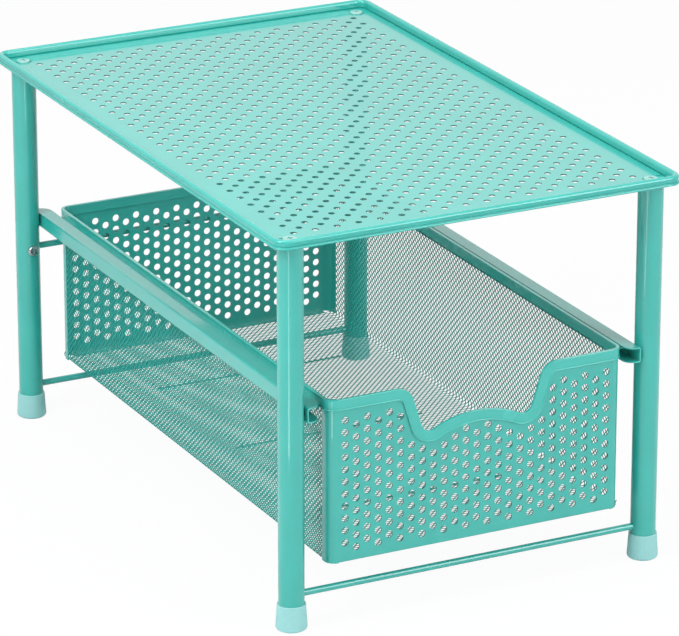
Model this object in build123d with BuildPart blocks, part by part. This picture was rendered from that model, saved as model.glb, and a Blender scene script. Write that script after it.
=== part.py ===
"""Two-tier under sink organizer: a perforated shelf on four tube legs over a sliding mesh drawer.

Millimetres, +Z up, +X to the right as seen from the front, the drawer's front facing -Y.
The origin is bottom centre, on the surface that the feet stand on.
"""
import os

from build123d import *

os.makedirs("parts", exist_ok=True)

# Layout of the frame
leg_spacing_x = 260
leg_spacing_y = 419
overall_height = 269.3
overrun = 5

# Leg tubes and their plastic feet
leg_diameter = 17
leg_wall = 1
foot_height = 17.5
foot_bottom_diameter = 21
foot_top_diameter = 18.8
foot_floor = 3
foot_bottom_round = 2
foot_top_round = 0.3

# Shelf: flat perforated sheet inside a raised, rounded rim
shelf_overhang = 16.2
shelf_corner_radius = 10
rim_depth = 5.4
rim_width = 4.9
rim_wall = 0.8
rim_round = 2.1
rim_crown = 1.2
rim_lip = 0.6
rim_lip_height = 1.2
rim_groove_depth = 0.4
rim_groove_height = 1.1
sheet_thickness = 0.8
sheet_step = 0.3
sheet_step_clearance = 0.1
screw_seat_clearance = 0.5
screw_seat_round = 4
shelf_hole_diameter = 4.5
shelf_hole_step = 7.65
shelf_hole_columns = 33
shelf_hole_rows = 53

# Screws and the threaded blocks that they bite into
screw_shank_diameter = 4
screw_clearance = 0.05
through_clearance = 0.2
shelf_screw_head_diameter = 9.6
shelf_screw_head_height = 1.6
shelf_screw_length = 13
shelf_screw_round = 0.9
rail_screw_head_diameter = 7.4
rail_screw_head_height = 2.4
rail_screw_length = 7
rail_screw_round = 1.4
cross_slot_width = 0.9
cross_slot_length = 4.4
cross_slot_depth = 1
plug_clearance = 0.1
insert_height = 18
anchor_height = 34
anchor_stub_diameter = 6

# Thin rods between the legs
bar_diameter = 4.5
bar_clearance = 0.1
low_bar_height = 23
upper_bar_height = 127

# C-section rails
rail_bottom = 141.4
rail_height = 10.5
rail_depth = 10.1
rail_wall = 1
rail_bend_radius = 1.2
rail_end_overhang = 7
rail_corner_radius = 8

# Drawer
drawer_width = 213.6
drawer_front_gap = 7.6
drawer_rear_gap = 3.4
drawer_bottom = 41.2
drawer_top = 154.3
drawer_corner_radius = 7
panel_return = 10
panel_flange = 5
panel_bend_radius = 1.2
band_height = 7
band_wall = 0.8
mesh_bend_radius = 3
mesh_corner_clearance = 2.2

# Shaped top edge of the drawer's front
dip_half_top = 49.3
dip_half_bottom = 38.2
dip_depth = 35.9
dip_hump = 11.5
dip_shoulder_radius = 12.3
dip_trough_radius = 7

# Punched holes of the drawer's front and rear
panel_hole_diameter = 5
panel_hole_columns = 25
panel_hole_column_step = 7.94
panel_hole_row_step = 8.42
panel_hole_rows = 11
panel_hole_bottom_margin = 10
panel_hole_edge_margin = 1

# Runners on the drawer's sides, inside the rails
runner_thickness = 1.2
runner_side_clearance = 0.8
runner_top_clearance = 0.7
runner_bottom_clearance = 0.3
runner_bend_radius = 1.6
runner_front_setback = 10.5
runner_rear_setback = 13
runner_corner_radius = 6

# Cross wires under the drawer's mesh floor
floor_wire_diameter = 1.2
floor_wire_side_gap = 35
floor_wire_first = 87
floor_wire_step = 124.6
floor_wire_count = 3

# Places worked out from the sizes above
leg_x = leg_spacing_x / 2
leg_y = leg_spacing_y / 2
leg_radius = leg_diameter / 2
panel_top = overall_height - rim_depth
leg_top = panel_top - sheet_thickness
screw_radius = screw_shank_diameter / 2
bar_radius = bar_diameter / 2
rail_top = rail_bottom + rail_height
rail_middle = rail_bottom + rail_height / 2
rail_web_x = leg_x - leg_radius
rail_half_length = leg_y + rail_end_overhang
shelf_half_x = leg_x + shelf_overhang
shelf_half_y = leg_y + shelf_overhang
leg_places = {"front_left": (-1, -1), "front_right": (1, -1), "rear_left": (-1, 1), "rear_right": (1, 1)}
sides = {"left": -1, "right": 1}

drawer_half = drawer_width / 2
drawer_front = -(leg_y + drawer_front_gap)
drawer_rear = leg_y - drawer_rear_gap
drawer_flat_half = drawer_half - drawer_corner_radius
panel_bottom = drawer_bottom + sheet_thickness
panel_edge_top = drawer_top - band_wall
band_bottom = drawer_top - band_height
band_outer = drawer_half + band_wall
band_thickness = sheet_thickness + 2 * band_wall
mesh_front = drawer_front + panel_return
mesh_rear = drawer_rear - panel_return


def save(piece, name):
    """Label a finished piece and write it as its own file."""
    piece.part.label = name
    export_step(piece.part, f"parts/{name}.step")


def staggered(columns, rows, column_step, row_step):
    """Places of a staggered pattern about the origin, on every second crossing of a grid."""
    first_x = -(columns - 1) / 2 * column_step
    first_y = -(rows - 1) / 2 * row_step
    return [
        (first_x + i * column_step, first_y + j * row_step)
        for j in range(rows)
        for i in range(columns)
        if (i + j) % 2 == 0
    ]


def pierced(outline, plane, places, radius):
    """A face bounded by an outline's outer edge, with round holes of one radius at places in a plane."""
    rings = [Wire.make_circle(radius, Plane(plane.from_local_coords(place), z_dir=plane.z_dir))
             for place in places]
    return Face(outline.face().outer_wire(), rings)


def pan_screw(plane, head_diameter, head_height, head_round, length):
    """A pan-head screw with a cross recess, its head standing on the given plane, its shank below."""
    with BuildPart(mode=Mode.PRIVATE) as screw:
        with BuildSketch(plane):
            Circle(head_diameter / 2)
        extrude(amount=head_height)
        top = plane.offset(head_height)
        rim_edges = screw.edges().filter_by(GeomType.CIRCLE)
        fillet(rim_edges.sort_by(lambda e: (e.center() - top.origin).length)[0], head_round)
        with BuildSketch(plane):
            Circle(screw_radius)
        extrude(amount=-length)
        with BuildSketch(top):
            Rectangle(cross_slot_length, cross_slot_width)
            Rectangle(cross_slot_width, cross_slot_length)
        extrude(amount=-cross_slot_depth, mode=Mode.SUBTRACT)
    return screw.part


def shelf_rectangle(inset, mode=Mode.ADD):
    """Plan of the shelf's rounded outline, moved in by inset, drawn in a sketch."""
    RectangleRounded(
        2 * (shelf_half_x - inset), 2 * (shelf_half_y - inset), shelf_corner_radius - inset, mode=mode
    )


# Shelf panel, one sheet with its punched holes, its edge pressed a step down where the rim stands on it.
# At the corners the step runs round the screw heads, so what lies on the raised field clears them.
sheet_inset = rim_lip + rim_wall
raised_inset = rim_width + sheet_step_clearance
edge_thickness = sheet_thickness - sheet_step
sheet_plane = Plane.XY.offset(leg_top)
seat_reach = shelf_overhang + shelf_screw_head_diameter / 2 + screw_seat_clearance
with BuildSketch(sheet_plane) as raised_outline:
    shelf_rectangle(raised_inset)
    with GridLocations(2 * shelf_half_x, 2 * shelf_half_y, 2, 2):
        RectangleRounded(2 * seat_reach, 2 * seat_reach, screw_seat_round, mode=Mode.SUBTRACT)
shelf_holes = staggered(shelf_hole_columns, shelf_hole_rows, shelf_hole_step, shelf_hole_step)
with BuildPart() as shelf_panel:
    extrude(
        pierced(raised_outline.sketch, sheet_plane, shelf_holes, shelf_hole_diameter / 2),
        amount=sheet_thickness,
        dir=(0, 0, 1),
    )
    with BuildSketch(sheet_plane):
        shelf_rectangle(sheet_inset)
        add(raised_outline.sketch, mode=Mode.SUBTRACT)
    extrude(amount=edge_thickness)
    with BuildSketch(sheet_plane):
        with GridLocations(leg_spacing_x, leg_spacing_y, 2, 2):
            Circle(screw_radius + through_clearance)
    extrude(amount=sheet_thickness, mode=Mode.SUBTRACT)
save(shelf_panel, "shelf_panel")

# Shelf rim, an inverted channel round the panel, with a groove and a bead along its outer foot
with BuildPart() as shelf_rim:
    with BuildSketch(sheet_plane):
        shelf_rectangle(rim_lip)
        shelf_rectangle(rim_width, Mode.SUBTRACT)
    extrude(amount=overall_height - leg_top)
    fillet(shelf_rim.edges().group_by(Axis.Z)[-1], rim_round)
    with BuildSketch(sheet_plane.offset(rim_lip_height)):
        shelf_rectangle(-overrun)
        shelf_rectangle(rim_lip + rim_groove_depth, Mode.SUBTRACT)
    extrude(amount=rim_groove_height, mode=Mode.SUBTRACT)
    with BuildSketch(sheet_plane):
        shelf_rectangle(0)
        shelf_rectangle(sheet_inset, Mode.SUBTRACT)
    extrude(amount=rim_lip_height)
    with BuildSketch(sheet_plane):
        shelf_rectangle(sheet_inset)
    extrude(amount=edge_thickness, mode=Mode.SUBTRACT)
    with BuildSketch(sheet_plane.offset(edge_thickness)):
        shelf_rectangle(sheet_inset)
        shelf_rectangle(rim_width - rim_wall, Mode.SUBTRACT)
    extrude(amount=overall_height - rim_crown - leg_top - edge_thickness, mode=Mode.SUBTRACT)
save(shelf_rim, "shelf_rim")

# Four screws down through the shelf into the leg tops
with BuildPart() as shelf_screws:
    for side, end in leg_places.values():
        seat = Plane((side * leg_x, end * leg_y, leg_top + edge_thickness))
        add(
            pan_screw(
                seat,
                shelf_screw_head_diameter,
                shelf_screw_head_height,
                shelf_screw_round,
                shelf_screw_length,
            )
        )
save(shelf_screws, "shelf_screws")

# Threaded plugs pressed into the leg tops
with BuildPart() as leg_top_inserts:
    with BuildSketch(Plane.XY.offset(leg_top)):
        with GridLocations(leg_spacing_x, leg_spacing_y, 2, 2):
            Circle(leg_radius - leg_wall - plug_clearance)
            Circle(screw_radius + screw_clearance, mode=Mode.SUBTRACT)
    extrude(amount=-insert_height)
save(leg_top_inserts, "leg_top_inserts")

# Leg tubes, each with the holes for what enters it, and the feet that they stand in
for place, (side, end) in leg_places.items():
    bar_heights = [low_bar_height] if end < 0 else [low_bar_height, upper_bar_height]
    axis_x = side * leg_x
    axis_y = end * leg_y
    with BuildPart() as leg:
        with BuildSketch(Plane.XY.offset(foot_floor)):
            with Locations((axis_x, axis_y)):
                Circle(leg_radius)
                Circle(leg_radius - leg_wall, mode=Mode.SUBTRACT)
        extrude(amount=leg_top - foot_floor)
        with BuildSketch(Plane.YZ.offset(axis_x)):
            with Locations(*[(axis_y, height) for height in bar_heights]):
                Circle(bar_radius + bar_clearance)
            with Locations((axis_y, rail_middle)):
                Circle(anchor_stub_diameter / 2 + through_clearance)
        extrude(amount=-side * (leg_radius + overrun), mode=Mode.SUBTRACT)
        with BuildSketch(Plane.XZ.offset(-axis_y)):
            with Locations((axis_x, upper_bar_height)):
                Circle(screw_radius + through_clearance)
        extrude(amount=end * (leg_radius + overrun), mode=Mode.SUBTRACT)
    save(leg, f"leg_{place}")

    with BuildPart() as foot:
        with BuildSketch(Plane((axis_x, axis_y, 0), x_dir=(1, 0, 0), z_dir=(0, -1, 0))):
            with BuildLine():
                Polyline(
                    (0, 0),
                    (foot_bottom_diameter / 2, 0),
                    (foot_top_diameter / 2, foot_height),
                    (leg_radius, foot_height),
                    (leg_radius, foot_floor),
                    (0, foot_floor),
                    close=True,
                )
            make_face()
        revolve(axis=Axis((axis_x, axis_y, 0), (0, 0, 1)))
        rings = foot.edges().filter_by(GeomType.CIRCLE)
        fillet(rings.group_by(Axis.Z)[0], foot_bottom_round)
        fillet(foot.edges().filter_by(GeomType.CIRCLE).group_by(Axis.Z)[-1].sort_by(SortBy.RADIUS)[-1],
               foot_top_round)
    save(foot, f"foot_{place}")

# Rods between the legs: low at the front, low at the rear, and behind the drawer
bar_half = leg_x - leg_radius + leg_wall
bars = {
    "crossbar_front": (-leg_y, low_bar_height),
    "crossbar_rear": (leg_y, low_bar_height),
    "crossbar_rear_upper": (leg_y, upper_bar_height),
}
for name, centre in bars.items():
    with BuildPart() as bar:
        with BuildSketch(Plane.YZ):
            with Locations(centre):
                Circle(bar_radius)
        extrude(amount=bar_half, both=True)
    save(bar, name)

# Rails, rolled C-sections that open towards the drawer, their flange corners rounded off
for name, side in sides.items():
    with BuildPart() as rail:
        with BuildSketch(Plane.XZ):
            with BuildLine():
                Polyline(
                    (side * (rail_web_x - rail_depth), rail_bottom),
                    (side * rail_web_x, rail_bottom),
                    (side * rail_web_x, rail_top),
                    (side * (rail_web_x - rail_depth), rail_top),
                    (side * (rail_web_x - rail_depth), rail_top - rail_wall),
                    (side * (rail_web_x - rail_wall), rail_top - rail_wall),
                    (side * (rail_web_x - rail_wall), rail_bottom + rail_wall),
                    (side * (rail_web_x - rail_depth), rail_bottom + rail_wall),
                    close=True,
                )
            make_face()
        extrude(amount=rail_half_length, both=True)
        web_edges = rail.edges().filter_by(Axis.Y).group_by(Axis.X)[0 if side < 0 else -1]
        fillet(web_edges, rail_bend_radius)
        lip_edges = rail.edges().filter_by(Axis.Z).group_by(Axis.X)[-1 if side < 0 else 0]
        fillet(lip_edges, rail_corner_radius)
    save(rail, f"rail_{name}")

# Threaded blocks inside the legs, each with a stub through the tube wall that carries a rail's end
with BuildPart() as rail_anchors:
    for side, end in leg_places.values():
        axis_x = side * leg_x
        axis_y = end * leg_y
        with BuildSketch(Plane.XY.offset(rail_top)):
            with Locations((axis_x, axis_y)):
                Circle(leg_radius - leg_wall - plug_clearance)
        extrude(amount=-anchor_height)
        with BuildSketch(Plane.YZ.offset(side * rail_web_x)):
            with Locations((axis_y, rail_middle)):
                Circle(anchor_stub_diameter / 2)
        extrude(amount=side * leg_radius)
        with BuildSketch(Plane.XZ.offset(-axis_y)):
            with Locations((axis_x, upper_bar_height)):
                Circle(screw_radius + screw_clearance)
        extrude(amount=end * leg_radius, mode=Mode.SUBTRACT)
save(rail_anchors, "rail_anchors")

# Chrome cross-head screws on the inner faces of the legs
with BuildPart() as rail_screws:
    for side, end in leg_places.values():
        seat_y = end * (leg_y - leg_radius)
        add(
            pan_screw(
                Plane((side * leg_x, seat_y, upper_bar_height), x_dir=(1, 0, 0), z_dir=(0, -end, 0)),
                rail_screw_head_diameter,
                rail_screw_head_height,
                rail_screw_round,
                rail_screw_length,
            )
        )
save(rail_screws, "rail_screws")


def below_shaped_edge(drop):
    """Everything below the drawer front's shaped top edge, lowered square to itself by drop."""
    far = drawer_half + drop + overrun
    deep = drawer_bottom - drop - overrun
    with BuildSketch(Plane.XZ) as area:
        with BuildLine():
            Polyline(
                (-dip_half_bottom, drawer_top - dip_depth),
                (-dip_half_top, drawer_top),
                (-far, drawer_top),
                (-far, deep),
                (far, deep),
                (far, drawer_top),
                (dip_half_top, drawer_top),
                (dip_half_bottom, drawer_top - dip_depth),
            )
            ThreePointArc(
                (dip_half_bottom, drawer_top - dip_depth),
                (0, drawer_top - dip_depth + dip_hump),
                (-dip_half_bottom, drawer_top - dip_depth),
            )
        make_face()
        corners = area.vertices()
        fillet([v for v in corners if abs(abs(v.X) - dip_half_bottom) < screw_clearance], dip_trough_radius)
        corners = area.vertices()
        fillet([v for v in corners if abs(abs(v.X) - dip_half_top) < screw_clearance], dip_shoulder_radius)
        if drop > 0:
            offset(amount=-drop, kind=Kind.INTERSECTION)
    return area.sketch


def corner_band(side, end, outer_y, inner_radius, outer_radius):
    """Plan of a rounded corner and its short straight return, between two radii, drawn in a sketch."""
    centre_x = side * drawer_flat_half
    centre_y = outer_y - end * drawer_corner_radius
    straight = panel_return - drawer_corner_radius
    with Locations((centre_x, centre_y)):
        Circle(outer_radius)
        Circle(inner_radius, mode=Mode.SUBTRACT)
    with Locations((centre_x + side * outer_radius / 2, centre_y + end * outer_radius / 2)):
        Rectangle(outer_radius, outer_radius, mode=Mode.INTERSECT)
    with Locations((centre_x + side * (inner_radius + outer_radius) / 2, centre_y - end * straight / 2)):
        Rectangle(outer_radius - inner_radius, straight)


def end_sheet(outer_y, end, elevation, holes):
    """A drawer end: pierced flat sheet, rounded corners with short returns, and a flange along its foot."""
    inner_y = outer_y - end * sheet_thickness
    wall_bottom = panel_bottom + panel_bend_radius
    flange_y = outer_y - end * (panel_flange + sheet_thickness)
    plane = Plane.XZ.offset(-inner_y)
    with BuildSketch(plane) as flat:
        add(elevation)
        with Locations((0, (wall_bottom + drawer_top) / 2)):
            Rectangle(2 * drawer_flat_half, drawer_top - wall_bottom, mode=Mode.INTERSECT)
    with BuildPart(mode=Mode.PRIVATE) as sheet:
        extrude(
            pierced(flat.sketch, plane, holes, panel_hole_diameter / 2),
            amount=sheet_thickness,
            dir=(0, end, 0),
        )
        with BuildSketch(Plane.YZ):
            with BuildLine():
                Polyline(
                    (outer_y, wall_bottom),
                    (outer_y, panel_bottom),
                    (flange_y, panel_bottom),
                    (flange_y, panel_bottom + sheet_thickness),
                    (inner_y, panel_bottom + sheet_thickness),
                    (inner_y, wall_bottom),
                    close=True,
                )
            make_face()
            bend = Vector(outer_y, panel_bottom)
            fillet(vertices().sort_by_distance(bend)[0], panel_bend_radius)
        extrude(amount=drawer_flat_half, both=True)
        for side in sides.values():
            with BuildSketch(Plane.XY.offset(panel_bottom)):
                corner_band(side, end, outer_y, drawer_corner_radius - sheet_thickness, drawer_corner_radius)
            extrude(amount=panel_edge_top - panel_bottom)
    return sheet


def end_band(outer_y, end, elevation, slot):
    """The smooth band over a drawer end's top edge, a channel whose slot holds the sheet."""
    inner_y = outer_y - end * sheet_thickness
    with BuildPart(mode=Mode.PRIVATE) as band:
        with BuildSketch(Plane.XZ.offset(-(inner_y - end * band_wall))):
            add(elevation)
            with Locations((0, drawer_bottom)):
                Rectangle(2 * drawer_flat_half, 2 * (drawer_top - drawer_bottom), mode=Mode.INTERSECT)
        extrude(amount=-end * band_thickness)
        for side in sides.values():
            with BuildSketch(Plane.XY.offset(band_bottom)):
                corner_band(
                    side,
                    end,
                    outer_y,
                    drawer_corner_radius - sheet_thickness - band_wall,
                    drawer_corner_radius + band_wall,
                )
            extrude(amount=band_height)
            with BuildSketch(Plane.XY.offset(band_bottom)):
                corner_band(side, end, outer_y, drawer_corner_radius - sheet_thickness, drawer_corner_radius)
            extrude(amount=band_height - band_wall, mode=Mode.SUBTRACT)
        with BuildSketch(Plane.XZ.offset(-inner_y)):
            add(slot)
            with Locations((0, drawer_bottom)):
                Rectangle(2 * drawer_flat_half, 2 * (drawer_top - drawer_bottom), mode=Mode.INTERSECT)
        extrude(amount=-end * sheet_thickness, mode=Mode.SUBTRACT)
    return band


def straight_edge(top):
    """Elevation of everything below a level top edge, between the drawer's corners."""
    with BuildSketch(Plane.XZ) as area:
        with Locations((0, (top + drawer_bottom) / 2)):
            Rectangle(2 * (drawer_half + overrun), top - drawer_bottom)
    return area.sketch


# Drawer's front sheet, whose holes keep clear of the band along its shaped edge
half_row = panel_hole_row_step / 2
field_middle = drawer_bottom + panel_hole_bottom_margin + (2 * panel_hole_rows - 1) * half_row / 2
end_holes = [
    (x, field_middle - z)
    for x, z in staggered(panel_hole_columns, 2 * panel_hole_rows, panel_hole_column_step, half_row)
]
clear_of_band = below_shaped_edge(band_height + panel_hole_edge_margin + panel_hole_diameter / 2).face()
front_holes = [(x, z) for x, z in end_holes if clear_of_band.is_inside((x, 0, z))]
front_face = below_shaped_edge(band_wall)
drawer_front_panel = end_sheet(drawer_front, -1, front_face, front_holes)
save(drawer_front_panel, "drawer_front_panel")

# Drawer's rear sheet, straight along its top
drawer_rear_panel = end_sheet(drawer_rear, 1, straight_edge(panel_edge_top), end_holes)
save(drawer_rear_panel, "drawer_rear_panel")

# Bands over the top edges of the front and the rear sheet
with BuildSketch(Plane.XZ) as front_band_face:
    add(below_shaped_edge(0))
    add(below_shaped_edge(band_height), mode=Mode.SUBTRACT)
drawer_front_band = end_band(drawer_front, -1, front_band_face.sketch, front_face)
save(drawer_front_band, "drawer_front_rim")

with BuildSketch(Plane.XZ) as rear_band_face:
    add(straight_edge(drawer_top))
    add(straight_edge(band_bottom), mode=Mode.SUBTRACT)
drawer_rear_band = end_band(drawer_rear, 1, rear_band_face.sketch, straight_edge(panel_edge_top))
save(drawer_rear_band, "drawer_rear_rim")

# Straight side bands and mesh sides between the two ends, the mesh bent inwards along its foot
mesh_middle = (mesh_front + mesh_rear) / 2
mesh_half_length = (mesh_rear - mesh_front) / 2
floor_half_x = drawer_half - mesh_bend_radius - sheet_thickness
for name, side in sides.items():
    with BuildPart() as side_band:
        with BuildSketch(Plane.XZ.offset(-mesh_middle)):
            band_x = side * (drawer_half - sheet_thickness / 2)
            with Locations((band_x, drawer_top - band_height / 2)):
                Rectangle(band_thickness, band_height)
            with Locations((band_x, drawer_top - band_wall - band_height / 2)):
                Rectangle(sheet_thickness, band_height, mode=Mode.SUBTRACT)
        extrude(amount=mesh_half_length, both=True)
    save(side_band, f"drawer_rim_{name}")

    with BuildPart() as mesh_side:
        with BuildSketch(Plane.XZ.offset(-mesh_middle)):
            with BuildLine():
                Polyline(
                    (side * floor_half_x, drawer_bottom),
                    (side * drawer_half, drawer_bottom),
                    (side * drawer_half, panel_edge_top),
                    (side * (drawer_half - sheet_thickness), panel_edge_top),
                    (side * (drawer_half - sheet_thickness), drawer_bottom + sheet_thickness),
                    (side * floor_half_x, drawer_bottom + sheet_thickness),
                    close=True,
                )
            make_face()
            outer_corner = Vector(side * drawer_half, drawer_bottom)
            fillet(vertices().sort_by_distance(outer_corner)[0], mesh_bend_radius)
            inner_corner = Vector(side * (drawer_half - sheet_thickness), drawer_bottom + sheet_thickness)
            fillet(vertices().sort_by_distance(inner_corner)[0], mesh_bend_radius - sheet_thickness)
        extrude(amount=mesh_half_length, both=True)
    save(mesh_side, f"drawer_mesh_{name}")

# Mesh floor, tucked under the flanges of the two ends
floor_front = drawer_front + sheet_thickness + mesh_corner_clearance
floor_rear = drawer_rear - sheet_thickness - mesh_corner_clearance
with BuildPart() as drawer_mesh_floor:
    with BuildSketch(Plane.XY.offset(drawer_bottom)):
        with Locations((0, (floor_front + floor_rear) / 2)):
            Rectangle(2 * floor_half_x, floor_rear - floor_front)
    extrude(amount=sheet_thickness)
save(drawer_mesh_floor, "drawer_mesh_floor")

# Thin cross wires that stiffen the floor from below
wire_half = drawer_half - floor_wire_side_gap
with BuildPart() as drawer_floor_wires:
    for i in range(floor_wire_count):
        wire_y = drawer_front + floor_wire_first + i * floor_wire_step
        with BuildSketch(Plane.YZ):
            with Locations((wire_y, drawer_bottom - floor_wire_diameter / 2)):
                Circle(floor_wire_diameter / 2)
        extrude(amount=wire_half, both=True)
save(drawer_floor_wires, "drawer_floor_wires")

# Runners, bent strips fixed to the side bands, which ride on the rails' lower flanges
runner_outer = rail_web_x - rail_wall - runner_side_clearance
runner_top = rail_top - rail_wall - runner_top_clearance
runner_foot = rail_bottom + rail_wall + runner_bottom_clearance
runner_front = drawer_front + runner_front_setback
runner_rear = drawer_rear - runner_rear_setback
for name, side in sides.items():
    with BuildPart() as runner:
        with BuildSketch(Plane.XZ.offset(-runner_front)):
            with BuildLine():
                Polyline(
                    (side * band_outer, runner_top),
                    (side * runner_outer, runner_top),
                    (side * runner_outer, runner_foot),
                    (side * (runner_outer - runner_thickness), runner_foot),
                    (side * (runner_outer - runner_thickness), runner_top - runner_thickness),
                    (side * band_outer, runner_top - runner_thickness),
                    close=True,
                )
            make_face()
        extrude(amount=runner_front - runner_rear)
        bend_edges = runner.edges().filter_by(Axis.Y).sort_by_distance((side * runner_outer, 0, runner_top))
        fillet(bend_edges[0], runner_bend_radius)
        with BuildSketch(Plane.XY.offset(runner_foot)):
            for end_y, inward in ((runner_front, 1), (runner_rear, -1)):
                corner_x = runner_outer - runner_corner_radius
                corner_y = end_y + inward * runner_corner_radius
                with Locations((side * (corner_x + runner_corner_radius / 2), (corner_y + end_y) / 2)):
                    Rectangle(runner_corner_radius, runner_corner_radius)
                with Locations((side * corner_x, corner_y)):
                    Circle(runner_corner_radius, mode=Mode.SUBTRACT)
        extrude(amount=runner_top - runner_foot, mode=Mode.SUBTRACT)
    save(runner, f"drawer_runner_{name}")
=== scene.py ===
import math

import bmesh
import bpy
from mathutils import Matrix, Vector


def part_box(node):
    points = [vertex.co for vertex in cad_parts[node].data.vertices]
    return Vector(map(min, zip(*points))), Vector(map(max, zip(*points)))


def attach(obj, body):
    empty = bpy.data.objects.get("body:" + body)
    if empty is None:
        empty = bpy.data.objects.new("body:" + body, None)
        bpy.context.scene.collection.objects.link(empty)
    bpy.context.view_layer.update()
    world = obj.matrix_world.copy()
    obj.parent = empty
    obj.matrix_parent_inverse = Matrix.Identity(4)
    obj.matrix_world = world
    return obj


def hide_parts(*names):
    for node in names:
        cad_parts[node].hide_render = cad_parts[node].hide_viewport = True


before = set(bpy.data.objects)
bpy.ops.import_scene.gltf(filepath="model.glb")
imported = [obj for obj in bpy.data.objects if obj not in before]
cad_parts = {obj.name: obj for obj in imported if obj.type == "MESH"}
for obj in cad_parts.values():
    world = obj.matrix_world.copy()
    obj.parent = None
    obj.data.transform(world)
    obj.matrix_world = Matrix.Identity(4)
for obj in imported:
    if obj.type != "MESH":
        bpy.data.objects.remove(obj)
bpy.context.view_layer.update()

scene = bpy.context.scene
scene.view_settings.view_transform = "Standard"

# Camera: it looks down on the drawer's front from the left, from far away and through a long
# lens, as the photograph does.
view_azimuth = math.radians(-26.84)
view_elevation = math.radians(20.32)
view_distance = 3.2547
view_lens = 253.7
view_centre = Vector((0.0064, -0.0082, 0.1227))


def seen_from(centre, azimuth, elevation, distance):
    """Place of a lamp or camera that looks at a centre, and its rotation towards it."""
    back = Vector((
        math.sin(azimuth) * math.cos(elevation),
        -math.cos(azimuth) * math.cos(elevation),
        math.sin(elevation),
    ))
    return centre + back * distance, (-back).to_track_quat("-Z", "Y")


camera_data = bpy.data.cameras.new("camera")
camera_data.sensor_width = 36
camera_data.lens = view_lens
camera_data.clip_end = 50
camera = bpy.data.objects.new("camera", camera_data)
camera.rotation_mode = "QUATERNION"
camera.location, camera.rotation_quaternion = seen_from(
    view_centre, view_azimuth, view_elevation, view_distance
)
scene.collection.objects.link(camera)
scene.camera = camera

# Lamps: softboxes at the left, at the front right and above, and a narrow strip just over the
# floor, which shines upwards and draws the bright line down each leg.
strip_azimuth = -38
strip_level = 0.02


def lamp(name, azimuth, elevation, distance, width, height, power):
    """A softbox that faces the organizer, its angles in degrees and its size in metres."""
    data = bpy.data.lights.new(name, "AREA")
    data.shape = "RECTANGLE"
    data.size = width
    data.size_y = height
    data.energy = power
    light = bpy.data.objects.new(name, data)
    light.rotation_mode = "QUATERNION"
    light.location, light.rotation_quaternion = seen_from(
        view_centre, math.radians(azimuth), math.radians(elevation), distance
    )
    scene.collection.objects.link(light)
    return light


lamp("key_softbox", azimuth=-75, elevation=42, distance=1.7, width=0.6, height=0.9, power=19)
lamp("front_softbox", azimuth=30, elevation=26, distance=2.0, width=0.7, height=1.2, power=16)
lamp("top_softbox", azimuth=0, elevation=88, distance=1.8, width=1.2, height=1.2, power=16)
floor_strip = lamp("floor_strip", azimuth=strip_azimuth, elevation=0, distance=1.1,
                   width=0.05, height=1.2, power=1.0)
floor_strip.location.z = strip_level
turned = Matrix.Rotation(math.radians(strip_azimuth), 4, "Z").to_quaternion()
facing_up = Matrix.Rotation(math.pi, 4, "X").to_quaternion()
floor_strip.rotation_quaternion = turned @ facing_up
floor_strip.visible_camera = False

# Room: plain white where the camera or a reflection looks past the floor, and a dimmer, slightly
# cool white where it lights the organizer.
world = bpy.data.worlds.new("white_room")
world.use_nodes = True
scene.world = world
tree = world.node_tree
tree.nodes.clear()
rays = tree.nodes.new("ShaderNodeLightPath")
seen = tree.nodes.new("ShaderNodeMath")
seen.operation = "MAXIMUM"
tree.links.new(rays.outputs["Is Camera Ray"], seen.inputs[0])
tree.links.new(rays.outputs["Is Glossy Ray"], seen.inputs[1])
backdrop = tree.nodes.new("ShaderNodeBackground")
backdrop.inputs["Color"].default_value = (1, 1, 1, 1)
room = tree.nodes.new("ShaderNodeBackground")
room.inputs["Color"].default_value = (0.93, 0.97, 1, 1)
room.inputs["Strength"].default_value = 0.36
blend = tree.nodes.new("ShaderNodeMixShader")
tree.links.new(seen.outputs[0], blend.inputs["Fac"])
tree.links.new(room.outputs[0], blend.inputs[1])
tree.links.new(backdrop.outputs[0], blend.inputs[2])
output = tree.nodes.new("ShaderNodeOutputWorld")
tree.links.new(blend.outputs[0], output.inputs["Surface"])

# Floor: a wide sheet of white paper that keeps the organizer's soft shadow. To the camera it also
# glows, nearly as white as the room, so that no horizon shows.
sweep = bmesh.new()
bmesh.ops.create_grid(sweep, x_segments=8, y_segments=8, size=6)
floor_mesh = bpy.data.meshes.new("floor")
sweep.to_mesh(floor_mesh)
sweep.free()
floor = bpy.data.objects.new("floor", floor_mesh)
scene.collection.objects.link(floor)
paper = bpy.data.materials.new("floor_paper")
paper.use_nodes = True
tree = paper.node_tree
tree.nodes.clear()
rays = tree.nodes.new("ShaderNodeLightPath")
matt = tree.nodes.new("ShaderNodeBsdfDiffuse")
matt.inputs["Color"].default_value = (0.8, 0.8, 0.8, 1)
glow = tree.nodes.new("ShaderNodeEmission")
glow.inputs["Color"].default_value = (1, 1, 1, 1)
lit = tree.nodes.new("ShaderNodeMixShader")
lit.inputs["Fac"].default_value = 0.95
tree.links.new(matt.outputs[0], lit.inputs[1])
tree.links.new(glow.outputs[0], lit.inputs[2])
pick = tree.nodes.new("ShaderNodeMixShader")
tree.links.new(rays.outputs["Is Camera Ray"], pick.inputs["Fac"])
tree.links.new(matt.outputs[0], pick.inputs[1])
tree.links.new(lit.outputs[0], pick.inputs[2])
output = tree.nodes.new("ShaderNodeOutputMaterial")
tree.links.new(pick.outputs[0], output.inputs["Surface"])
floor_mesh.materials.append(paper)

# Legs: four round steel tubes, cut square and powder coated in a glossy turquoise.
# They stand in the feet and carry the shelf, the rails and the thin rods.
corners = ("front_left", "front_right", "rear_left", "rear_right")
turquoise = (0.035, 0.44, 0.385)


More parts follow.
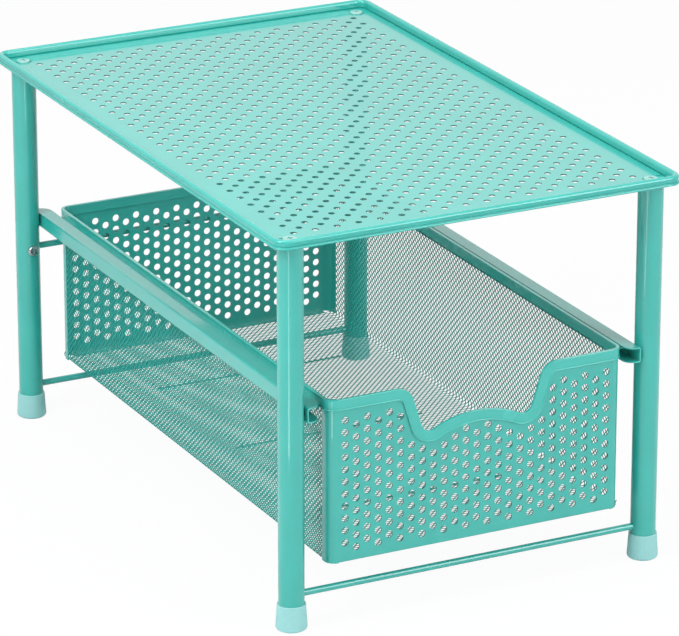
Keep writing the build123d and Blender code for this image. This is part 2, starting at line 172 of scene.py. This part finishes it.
def powder_coat(name, colour, roughness, lacquer=1):
    """Glossy sprayed coating with a slightly uneven colour, patchy gloss and a fine orange peel."""
    colour_drift = 0.04
    peel_strength = 0.06
    peel_height = 0.0002
    coat = bpy.data.materials.new(name)
    coat.use_nodes = True
    nodes, links = coat.node_tree.nodes, coat.node_tree.links
    shader = nodes["Principled BSDF"]
    shader.inputs["IOR"].default_value = 1.5
    shader.inputs["Specular IOR Level"].default_value = 0.3
    shader.inputs["Coat Weight"].default_value = lacquer
    shader.inputs["Coat Roughness"].default_value = 0.07
    place = nodes.new("ShaderNodeTexCoord")
    cloud = nodes.new("ShaderNodeTexNoise")
    cloud.inputs["Scale"].default_value = 35
    cloud.inputs["Detail"].default_value = 4
    links.new(place.outputs["Object"], cloud.inputs["Vector"])
    tint = nodes.new("ShaderNodeValToRGB")
    tint.color_ramp.elements[0].position = 0.3
    tint.color_ramp.elements[1].position = 0.7
    tint.color_ramp.elements[0].color = [c * (1 - colour_drift) for c in colour] + [1]
    tint.color_ramp.elements[1].color = [min(1, c * (1 + colour_drift)) for c in colour] + [1]
    links.new(cloud.outputs["Fac"], tint.inputs["Fac"])
    links.new(tint.outputs["Color"], shader.inputs["Base Color"])
    gloss = nodes.new("ShaderNodeMapRange")
    gloss.inputs["To Min"].default_value = roughness * 0.8
    gloss.inputs["To Max"].default_value = roughness * 1.25
    links.new(cloud.outputs["Fac"], gloss.inputs["Value"])
    links.new(gloss.outputs["Result"], shader.inputs["Roughness"])
    grain = nodes.new("ShaderNodeTexNoise")
    grain.inputs["Scale"].default_value = 900
    grain.inputs["Detail"].default_value = 2
    links.new(place.outputs["Object"], grain.inputs["Vector"])
    skin = nodes.new("ShaderNodeBump")
    skin.inputs["Strength"].default_value = peel_strength
    skin.inputs["Distance"].default_value = peel_height
    links.new(grain.outputs["Fac"], skin.inputs["Height"])
    links.new(skin.outputs["Normal"], shader.inputs["Normal"])
    return coat


def dress(material, *names):
    """Gives each named node of the frame its finish in place of the imported one."""
    for name in names:
        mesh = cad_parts[name].data
        mesh.materials.clear()
        mesh.materials.append(material)


dress(powder_coat("leg_coat", turquoise, 0.3), *[f"leg_{corner}" for corner in corners])

# Feet: moulded plastic caps in a paler turquoise, a little wider at the ground,
# pushed over the tubes' lower ends.
foot_colour = (0.33, 0.66, 0.65)
foot_translucency = 0.3


def moulded_plastic(name, colour, roughness, subsurface=0):
    """Satin moulded plastic with a faint grain and slightly uneven gloss."""
    scatter_depth = 0.002
    grain_strength = 0.08
    grain_height = 0.0001
    plastic = bpy.data.materials.new(name)
    plastic.use_nodes = True
    nodes, links = plastic.node_tree.nodes, plastic.node_tree.links
    shader = nodes["Principled BSDF"]
    shader.inputs["Subsurface Weight"].default_value = subsurface
    shader.inputs["Subsurface Radius"].default_value = (0.6, 1, 1)
    shader.inputs["Subsurface Scale"].default_value = scatter_depth
    place = nodes.new("ShaderNodeTexCoord")
    grain = nodes.new("ShaderNodeTexNoise")
    grain.inputs["Scale"].default_value = 600
    grain.inputs["Detail"].default_value = 3
    links.new(place.outputs["Object"], grain.inputs["Vector"])
    tint = nodes.new("ShaderNodeValToRGB")
    tint.color_ramp.elements[0].color = [c * 0.95 for c in colour] + [1]
    tint.color_ramp.elements[1].color = [min(1, c * 1.05) for c in colour] + [1]
    links.new(grain.outputs["Fac"], tint.inputs["Fac"])
    links.new(tint.outputs["Color"], shader.inputs["Base Color"])
    gloss = nodes.new("ShaderNodeMapRange")
    gloss.inputs["To Min"].default_value = roughness * 0.85
    gloss.inputs["To Max"].default_value = roughness * 1.15
    links.new(grain.outputs["Fac"], gloss.inputs["Value"])
    links.new(gloss.outputs["Result"], shader.inputs["Roughness"])
    skin = nodes.new("ShaderNodeBump")
    skin.inputs["Strength"].default_value = grain_strength
    skin.inputs["Distance"].default_value = grain_height
    links.new(grain.outputs["Fac"], skin.inputs["Height"])
    links.new(skin.outputs["Normal"], shader.inputs["Normal"])
    return plastic


foot_plastic = moulded_plastic("foot_plastic", foot_colour, 0.4, foot_translucency)
dress(foot_plastic, *[f"foot_{corner}" for corner in corners])

# Shelf: one flat steel sheet, punched with a staggered field of holes and coated as the legs are.
# Little light comes to the holes' walls, so they take a darker coat as painted shade.
shelf_margin = 0.01
shelf_coat = powder_coat("shelf_coat", turquoise, 0.2, 0.75)
hole_shade_coat = powder_coat("hole_shade_coat", (0.012, 0.13, 0.115), 0.5)


def merged(name):
    """A copy of a node's mesh in which its loose triangles share their corners."""
    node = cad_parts[name]
    copy = bmesh.new()
    copy.from_mesh(node.data)
    copy.transform(node.matrix_world)
    bmesh.ops.remove_doubles(copy, verts=copy.verts, dist=1e-6)
    return copy


def punched(name, wall_axis, field):
    """A merged copy of a pierced sheet, with its holes' walls in the second material, their painted
    shade.

    The field is the stretch with holes, as two axes with their middle and half width. A wall
    there is told from the sheet's flat faces by its normal, which doesn't point along wall_axis.
    """
    copy = merged(name)
    for face in copy.faces:
        spot = face.calc_center_median()
        inside = all(abs(spot[axis] - middle) < half for axis, middle, half in field)
        if inside and abs(face.normal[wall_axis]) < 0.5:
            face.material_index = 1
    return copy


def place_mesh(bm, name, body, slot, material, *nodes_replaced):
    """Turns a finished bmesh into a piece that rides on a body and stands for nodes of the frame."""
    mesh = bpy.data.meshes.new(name)
    bm.to_mesh(mesh)
    bm.free()
    mesh.materials.append(material)
    piece = bpy.data.objects.new(name, mesh)
    scene.collection.objects.link(piece)
    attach(piece, body)
    if nodes_replaced:
        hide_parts(*nodes_replaced)
    return piece


dress(shelf_coat, "shelf_panel")
panel_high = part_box("shelf_panel")[1]
shelf_field = [(0, 0, panel_high.x - shelf_margin), (1, 0, panel_high.y - shelf_margin)]
sheet = place_mesh(punched("shelf_panel", 2, shelf_field), "punched_shelf", "frame", "shelf_sheet",
                   shelf_coat, "shelf_panel")
sheet.data.materials.append(hole_shade_coat)

# Shelf screws: four low pan-head screws with cross recesses, in a paler turquoise coat.
# They go down through the sheet and hold it on the legs' tops.
dress(powder_coat("screw_coat", (0.2, 0.52, 0.47), 0.25), "shelf_screws")

# Shelf rim: one steel strip rolled all round the sheet, with a lip and a groove at its outer foot,
# a rounded crown, and a narrow gap where its inner wall comes down beside the sheet's raised field.
# Sizes here are in millimetres, the profile's inwards from the outer face and up from the sheet.
corner_round = 10
outer_wall = 0.6
crown_foot = 3.3
crown_round = 2.1
crown_steps = 12
inner_wall = outer_wall + 2 * crown_round
rim_profile = [(1.4, -0.8), (0.25, -0.8), (0.05, -0.6), (0, -0.3), (0.1, 0.2), (0.4, 0.45),
               (1.0, 0.5), (1.05, 0.8), (0.95, 1.2), (0.75, 1.45), (outer_wall, 1.9),
               (outer_wall, crown_foot)]
for step in range(1, crown_steps):
    turn = math.pi * step / crown_steps
    rim_profile.append((outer_wall + crown_round * (1 - math.cos(turn)),
                        crown_foot + crown_round * math.sin(turn)))
rim_profile += [(inner_wall, crown_foot), (inner_wall, 0.9), (4.75, 0.6), (4.45, 0.3), (4.4, -0.3)]


def of_kind(kind, geometry):
    """The vertices, or the edges, among what an operator gives back."""
    return [item for item in geometry if isinstance(item, kind)]


def whole(bm):
    """All vertices, edges and faces of a bmesh, for an operator that takes them together."""
    return bm.verts[:] + bm.edges[:] + bm.faces[:]


rim_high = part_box("shelf_rim")[1]
turn_centre = Vector((rim_high.x - corner_round / 1000, rim_high.y - corner_round / 1000, 0))
rim = bmesh.new()
outline = [rim.verts.new((rim_high.x - inward / 1000, turn_centre.y, panel_high.z + rise / 1000))
           for inward, rise in rim_profile]
for first, second in zip(outline, outline[1:] + outline[:1]):
    rim.edges.new((first, second))
side_run = bmesh.ops.extrude_edge_only(rim, edges=rim.edges[:])
bmesh.ops.translate(rim, verts=of_kind(bmesh.types.BMVert, side_run["geom"]),
                    vec=(0, -turn_centre.y, 0))
start = [edge for edge in rim.edges if all(vert in outline for vert in edge.verts)]
corner = bmesh.ops.spin(rim, geom=outline + start, cent=turn_centre, axis=(0, 0, 1),
                        angle=math.pi / 2, steps=16)
last = of_kind(bmesh.types.BMEdge, corner["geom_last"])
end_run = bmesh.ops.extrude_edge_only(rim, edges=last)
bmesh.ops.translate(rim, verts=of_kind(bmesh.types.BMVert, end_run["geom"]),
                    vec=(-turn_centre.x, 0, 0))
for axis in ("X", "Y"):
    bmesh.ops.mirror(rim, geom=whole(rim), axis=axis, merge_dist=1e-5)
bmesh.ops.remove_doubles(rim, verts=rim.verts, dist=1e-6)
bmesh.ops.recalc_face_normals(rim, faces=rim.faces)
for face in rim.faces:
    face.smooth = True
rim_coat = powder_coat("rim_coat", turquoise, 0.25, 0.7)
place_mesh(rim, "rolled_rim", "frame", "shelf_rim", rim_coat, "shelf_rim")
dress(rim_coat, "shelf_rim")

# Hidden blocks: black moulded plugs in the legs' tops, into which the shelf's screws bite,
# and blocks inside the legs that carry the ends of the rails.
dress(moulded_plastic("insert_plastic", (0.02, 0.02, 0.02), 0.5), "leg_top_inserts", "rail_anchors")

# Thin rods: plain steel wire welded between the legs, low at the front and at the rear and once
# more behind the drawer, and three wires across under the drawer's floor. All are coated.
dress(powder_coat("rod_coat", turquoise, 0.3), "crossbar_front", "crossbar_rear", "crossbar_rear_upper",
      "drawer_floor_wires")

# Rails: C-sections rolled from steel strip in the same coating, one at each side between the legs,
# open towards the drawer. The coating rounds their edges a little.
rail_edge = 0.00025
rail_coat = powder_coat("rail_coat", turquoise, 0.3)


def softened(name, width):
    """A merged copy with its sharp edges rounded over a width, as on folded and coated sheet."""
    copy = merged(name)
    bmesh.ops.dissolve_limit(copy, angle_limit=math.radians(1), verts=copy.verts, edges=copy.edges)
    sharp = [edge for edge in copy.edges
             if edge.is_manifold and edge.calc_face_angle() > math.radians(40)]
    bmesh.ops.bevel(copy, geom=sharp, offset=width, offset_type="OFFSET", affect="EDGES", segments=2,
                    profile=0.5, material=-1, clamp_overlap=True)
    return copy


for name in ("rail_left", "rail_right"):
    dress(rail_coat, name)
    place_mesh(softened(name, rail_edge), f"{name}_soft", "frame", "rail", rail_coat, name)

# Rail screws: four cross-head screws of chromed steel, below the rails on the legs' inner faces.
# They hold the blocks inside the legs that carry the rails.
chrome = bpy.data.materials.new("chrome_plating")
chrome.use_nodes = True
nodes, links = chrome.node_tree.nodes, chrome.node_tree.links
shader = nodes["Principled BSDF"]
# The plating's colour is set darker than bright chrome, as painted reflection of dim surroundings.
shader.inputs["Base Color"].default_value = (0.42, 0.43, 0.44, 1)
shader.inputs["Metallic"].default_value = 1
place = nodes.new("ShaderNodeTexCoord")
brush = nodes.new("ShaderNodeTexNoise")
brush.inputs["Scale"].default_value = 700
links.new(place.outputs["Object"], brush.inputs["Vector"])
gloss = nodes.new("ShaderNodeMapRange")
gloss.inputs["To Min"].default_value = 0.08
gloss.inputs["To Max"].default_value = 0.22
links.new(brush.outputs["Fac"], gloss.inputs["Value"])
links.new(gloss.outputs["Result"], shader.inputs["Roughness"])
dress(chrome, "rail_screws")

# Drawer ends: two perforated steel sheets, the front one with a dipped top edge, both with their
# sides folded back round the corners of the mesh. The holes stop short of the folds and edges.
side_margin = 0.008
edge_margin = 0.004
drawer_coat = powder_coat("drawer_coat", turquoise, 0.3)
for name in ("drawer_front_panel", "drawer_rear_panel"):
    dress(drawer_coat, name)
    low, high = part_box(name)
    end_field = [(0, 0, high.x - side_margin),
                 (2, (low.z + high.z) / 2, (high.z - low.z) / 2 - edge_margin)]
    sheet = place_mesh(punched(name, 1, end_field), f"punched_{name}", "drawer", "drawer_sheet",
                       drawer_coat, name)
    # The holes' walls take the dark coat of painted shade.
    sheet.data.materials.append(hole_shade_coat)

# Drawer bands: smooth steel strips folded over the top edges of the drawer's ends and sides and
# coated with them. Their outer lower edges are folded under, which shows as a thin bead.
band_edge = 0.00025
bead_radius = 0.00048
# Their coat is the ends' turquoise made a little lighter, as painted light on the bands.
lit_band_coat = powder_coat("lit_band_coat", (0.042, 0.48, 0.42), 0.25)


def hem_runs(name):
    """Runs of points along a band's lower edges that look outwards, where its sheet is folded under."""
    corner_reach = 0.006
    end_slack = 0.0001
    upright = 0.05
    band = merged(name)
    low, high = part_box(name)
    outermost = max(high.x, -low.x)
    front_or_rear = 0 if low.y < 0 < high.y else math.copysign(1, low.y)
    joined = {}
    for edge in band.edges:
        first, second = edge.verts
        middle = (first.co + second.co) / 2
        left_or_right = math.copysign(1, middle.x) if abs(middle.x) > outermost - corner_reach else 0
        outward = Vector((left_or_right, front_or_rear, 0))
        under = [face for face in edge.link_faces
                 if face.normal.z < -upright and abs(face.normal.y) < 0.5]
        outer = [face for face in edge.link_faces
                 if abs(face.normal.z) < upright and face.normal.dot(outward) > 0.5]
        if len(under) == 1 and len(outer) == 1:
            joined.setdefault(first, []).append(second)
            joined.setdefault(second, []).append(first)
    runs = []
    for here in [vert for vert, others in joined.items() if len(others) == 1]:
        if here not in joined:
            continue
        run = [here.co.copy()]
        while joined.get(here):
            ahead = joined[here].pop()
            joined[ahead].remove(here)
            del joined[here]
            here = ahead
            run.append(here.co.copy())
        joined.pop(here, None)
        if max(abs(spot.x) for spot in run) >= outermost - end_slack:
            runs.append(run)
    band.free()
    return runs


def bead_along(runs, radius):
    """A round bead that follows each run of points and is closed at both ends."""
    bead = bmesh.new()
    for run in runs:
        stations = []
        for index, centre in enumerate(run):
            along = (run[min(index + 1, len(run) - 1)] - run[max(index - 1, 0)]).normalized()
            side = along.cross(Vector((0, 0, 1))).normalized()
            station = Matrix((along.cross(side), side, -along)).transposed().to_4x4()
            station.translation = centre
            stations.append(station)
        circle = bmesh.ops.create_circle(bead, cap_ends=True, segments=10, radius=radius,
                                         matrix=stations[0])
        ring = [edge for edge in bead.edges if edge.verts[0] in circle["verts"]]
        for before, after in zip(stations, stations[1:]):
            grown = bmesh.ops.extrude_edge_only(bead, edges=ring)["geom"]
            bmesh.ops.transform(bead, verts=of_kind(bmesh.types.BMVert, grown),
                                matrix=after @ before.inverted())
            ring = [edge for edge in of_kind(bmesh.types.BMEdge, grown) if edge.is_boundary]
        bmesh.ops.edgeloop_fill(bead, edges=ring)
    bmesh.ops.recalc_face_normals(bead, faces=bead.faces)
    for face in bead.faces:
        face.smooth = len(face.verts) == 4
    return bead


for name in ("drawer_front_rim", "drawer_rear_rim", "drawer_rim_left", "drawer_rim_right"):
    dress(lit_band_coat, name)
    place_mesh(softened(name, band_edge), f"{name}_soft", "drawer", "drawer_band", lit_band_coat, name)
    place_mesh(bead_along(hem_runs(name), bead_radius), f"{name}_hem", "drawer", "drawer_band",
               lit_band_coat)

# Runners: a narrow steel strip at each side of the drawer, coated with it, that slides in the
# channel of the rail.
runner_edge = 0.0002
for name in ("drawer_runner_left", "drawer_runner_right"):
    dress(drawer_coat, name)
    place_mesh(softened(name, runner_edge), f"{name}_soft", "drawer", "runner", drawer_coat, name)

# Drawer mesh: one sheet of expanded steel, slit and stretched into small diamonds whose strands
# lie tilted like slats, folded up at both sides and coated. It is held by the bands and the ends.
mesh_pitch_y = 0.00452
mesh_pitch_across = 0.00448
strand_half = 0.0006
bond_half = 0.0006
bond_flat_half = 0.00025
slat_lean = 0.00007
strand_thickness = 0.0003
# The mesh's coat is the turquoise darkened, as painted shade for the shadowed inside of the drawer.
shaded_mesh_coat = powder_coat("shaded_mesh_coat", (0.01, 0.33, 0.285), 0.4, 0.05)
dress(shaded_mesh_coat, "drawer_mesh_floor", "drawer_mesh_left", "drawer_mesh_right")


def expanded_sheet(low_across, high_across, low_y, high_y):
    """A flat stretch of expanded metal without thickness: X across the drawer, Y along it.

    One bond and the two strands that leave it on one side are drawn, doubled to the next bond
    of the stagger, repeated in columns and rows from just outside the stretch, and cut off at
    the stretch's four sides.
    """
    half_y = mesh_pitch_y / 2
    half_across = mesh_pitch_across / 2
    sheet = bmesh.new()
    bond = {}
    for side in (1, -1):
        bond[side] = sheet.verts.new((0, side * bond_half, 0))
        for end in (1, -1):
            bond[side, end] = sheet.verts.new((side * strand_half, end * bond_flat_half,
                                               -side * slat_lean))
    sheet.faces.new((bond[-1], bond[1, -1], bond[1, 1], bond[1], bond[-1, 1], bond[-1, -1]))
    for end in (1, -1):
        far = sheet.verts.new((half_across - strand_half, end * (half_y - bond_flat_half), slat_lean))
        tip = sheet.verts.new((half_across, end * (half_y - bond_half), 0))
        sheet.faces.new((bond[end], far, tip, bond[1, end])[::-end])
    rows = math.ceil((high_across - low_across) / mesh_pitch_across) + 2
    columns = math.ceil((high_y - low_y) / mesh_pitch_y) + 2
    first_row = math.floor(low_across / mesh_pitch_across) - 1
    first_column = math.floor(low_y / mesh_pitch_y) - 1
    bmesh.ops.translate(sheet, verts=sheet.verts,
                        vec=(first_row * mesh_pitch_across, first_column * mesh_pitch_y, 0))
    for steps, move in (
        (1, (half_across, half_y, 0)),
        (columns, (0, mesh_pitch_y, 0)),
        (rows, (mesh_pitch_across, 0, 0)),
    ):
        bmesh.ops.spin(sheet, geom=whole(sheet), steps=steps, axis=(0, 0, 1), angle=0, dvec=move,
                       use_duplicate=True)
    bmesh.ops.remove_doubles(sheet, verts=sheet.verts, dist=1e-5)
    for place, normal in (
        ((low_across, 0, 0), (-1, 0, 0)),
        ((high_across, 0, 0), (1, 0, 0)),
        ((0, low_y, 0), (0, -1, 0)),
        ((0, high_y, 0), (0, 1, 0)),
    ):
        bmesh.ops.bisect_plane(sheet, geom=whole(sheet), plane_co=place, plane_no=normal,
                               clear_outer=True)
    return sheet


floor_low, floor_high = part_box("drawer_mesh_floor")
sheet_thickness = floor_high.z - floor_low.z
floor_level = (floor_low.z + floor_high.z) / 2
floor_middle = (floor_low.y + floor_high.y) / 2
for name, low_y, high_y in (("mesh_floor_front", floor_low.y, floor_middle),
                            ("mesh_floor_rear", floor_middle, floor_high.y)):
    sheet = expanded_sheet(floor_low.x, floor_high.x, low_y, high_y)
    bmesh.ops.solidify(sheet, geom=sheet.faces[:], thickness=strand_thickness)
    bmesh.ops.translate(sheet, verts=sheet.verts, vec=(0, 0, floor_level))
    place_mesh(sheet, name, "drawer", "mesh", shaded_mesh_coat, "drawer_mesh_floor")

# Mesh sides: the same sheet, bent up in a quarter round at the floor's edge and straight on into
# the band. Above the bend it stops a little way in behind the drawer ends' folded sides.
band_overlap = 0.001
tuck = 0.0025
for name, side in (("left", -1), ("right", 1)):
    low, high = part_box(f"drawer_mesh_{name}")
    band_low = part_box(f"drawer_rim_{name}")[0]
    outer = high.x if side > 0 else -low.x
    bend = outer - floor_high.x - sheet_thickness / 2
    quarter = bend * math.pi / 2
    bend_level = floor_level + bend
    reach = floor_high.x + quarter + (band_low.z + band_overlap - bend_level)
    ends = (floor_high.x, reach) if side > 0 else (-reach, -floor_high.x)
    sheet = expanded_sheet(ends[0], ends[1], floor_low.y, floor_high.y)
    hidden = [vert for vert in sheet.verts if side * vert.co.x - floor_high.x > quarter + tuck
              and not low.y - tuck < vert.co.y < high.y + tuck]
    bmesh.ops.delete(sheet, geom=hidden, context="VERTS")
    bmesh.ops.solidify(sheet, geom=sheet.faces[:], thickness=strand_thickness)
    for vert in sheet.verts:
        run = side * vert.co.x - floor_high.x
        if run < quarter:
            turn = run / bend
            centre = Vector((floor_high.x, bend_level))
            radius = bend - vert.co.z
            spot = centre + radius * Vector((math.sin(turn), -math.cos(turn)))
        else:
            spot = Vector((floor_high.x + bend - vert.co.z, bend_level + run - quarter))
        vert.co = (side * spot.x, vert.co.y, spot.y)
    place_mesh(sheet, f"mesh_{name}", "drawer", "mesh", shaded_mesh_coat, f"drawer_mesh_{name}")
